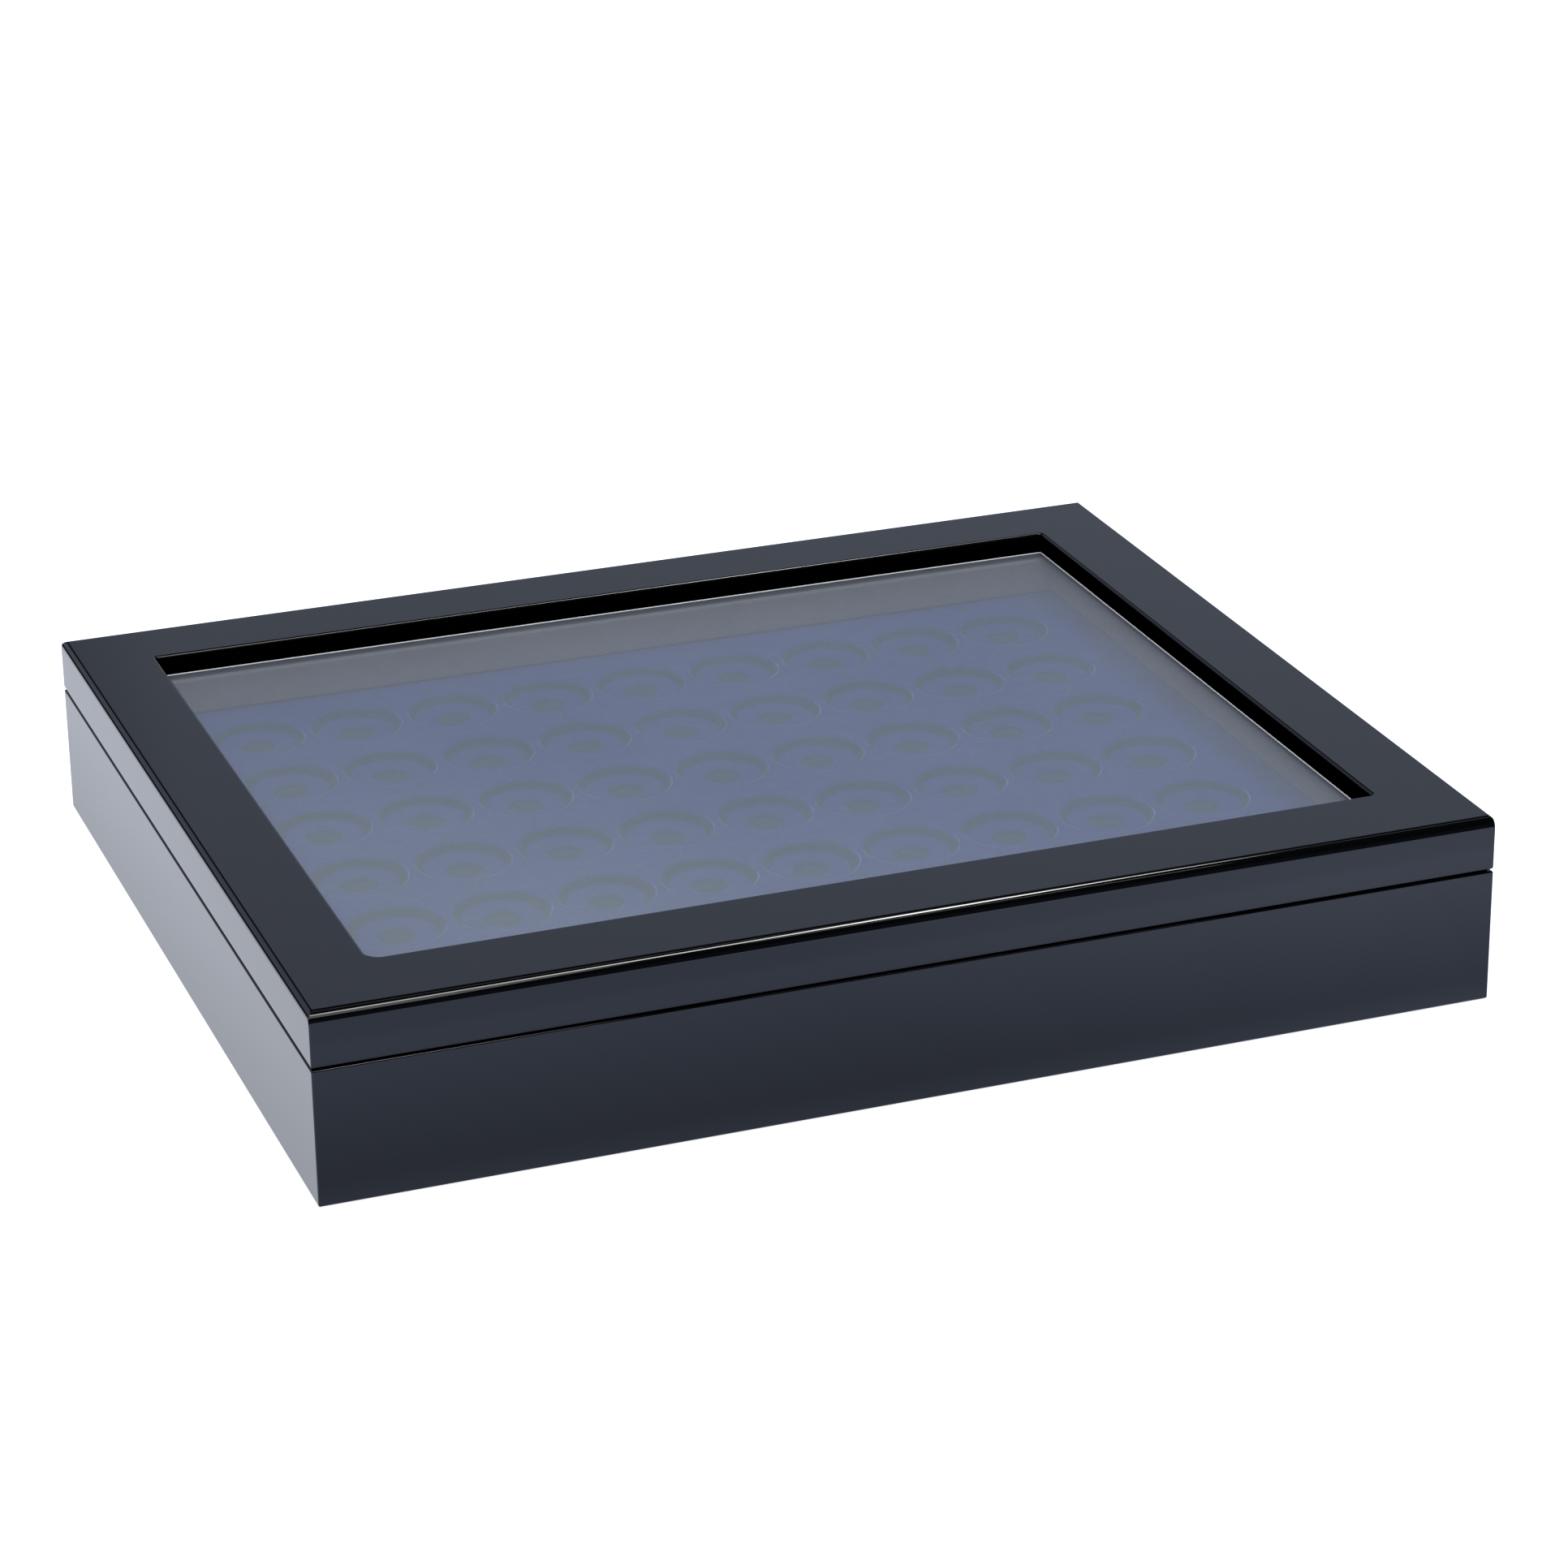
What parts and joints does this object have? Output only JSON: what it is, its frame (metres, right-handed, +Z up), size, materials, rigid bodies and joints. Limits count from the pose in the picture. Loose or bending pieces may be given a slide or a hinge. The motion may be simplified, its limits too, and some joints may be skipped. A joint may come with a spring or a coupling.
{
  "type": "capsule display case",
  "caption": "Low black lacquered box with a hinged glazed lid over a blue flocked tray of round capsule pockets.",
  "frame": {"origin": "middle of the underside, on the surface that the case stands on", "axes": "+X along the front to the right, +Y from the front to the hinged back, +Z up"},
  "size_m": [0.4, 0.3433, 0.065],
  "materials": {
    "black_lacquer": "black high-gloss lacquer over fibreboard, polished, edges softly rounded",
    "window_glass": "clear float glass with a faint grey haze",
    "blue_flock": "short dense blue flock, matt with a soft sheen",
    "backing_card": "dark blue paper-covered card, matt",
    "grey_cloth": "grey cloth over board, matt, fine even weave",
    "black_felt": "thin black felt",
    "fibreboard": "bare medium-density fibreboard",
    "hinge_nickel": "nickel-plated steel, fine brushing",
    "magnet_plating": "bright nickel-plated magnet",
    "pad_rubber": "matt black rubber"
  },
  "bodies": {
    "base": {"base_front_wall": "black_lacquer", "base_back_wall": "black_lacquer", "base_left_wall": "black_lacquer", "base_right_wall": "black_lacquer", "base_floor_panel": "fibreboard", "underside_felt": "black_felt", "corner_block_front_left": "fibreboard", "corner_block_front_right": "fibreboard", "corner_block_back_left": "fibreboard", "corner_block_back_right": "fibreboard", "tray_ledge_front": "fibreboard", "tray_ledge_back": "fibreboard", "tray_ledge_left": "fibreboard", "tray_ledge_right": "fibreboard", "tray_pocket_sheet": "blue_flock", "tray_board": "blue_flock", "tray_backing": "backing_card", "hinge_left_base_leaf": "hinge_nickel", "hinge_left_pin": "hinge_nickel", "hinge_left_base_screw_left": "hinge_nickel", "hinge_left_base_screw_right": "hinge_nickel", "base_magnet_left": "magnet_plating", "closing_pad_left": "pad_rubber", "hinge_right_base_leaf": "hinge_nickel", "hinge_right_pin": "hinge_nickel", "hinge_right_base_screw_left": "hinge_nickel", "hinge_right_base_screw_right": "hinge_nickel", "base_magnet_right": "magnet_plating", "closing_pad_right": "pad_rubber"},
    "lid": {"lid_front_rail": "black_lacquer", "lid_back_rail": "black_lacquer", "lid_left_rail": "black_lacquer", "lid_right_rail": "black_lacquer", "glass_pane": "window_glass", "lid_front_liner": "grey_cloth", "lid_back_liner": "grey_cloth", "lid_left_liner": "grey_cloth", "lid_right_liner": "grey_cloth", "hinge_left_lid_leaf": "hinge_nickel", "hinge_left_lid_screw_left": "hinge_nickel", "hinge_left_lid_screw_right": "hinge_nickel", "lid_magnet_left": "magnet_plating", "hinge_right_lid_leaf": "hinge_nickel", "hinge_right_lid_screw_left": "hinge_nickel", "hinge_right_lid_screw_right": "hinge_nickel", "lid_magnet_right": "magnet_plating"}
  },
  "joints": [
    {"name": "lid_hinge", "type": "hinge", "parent": "base", "child": "lid", "pos_m": [0, 0.1718, 0.0465], "axis": [-1, 0, 0], "range_deg": [0, 100]}
  ]
}
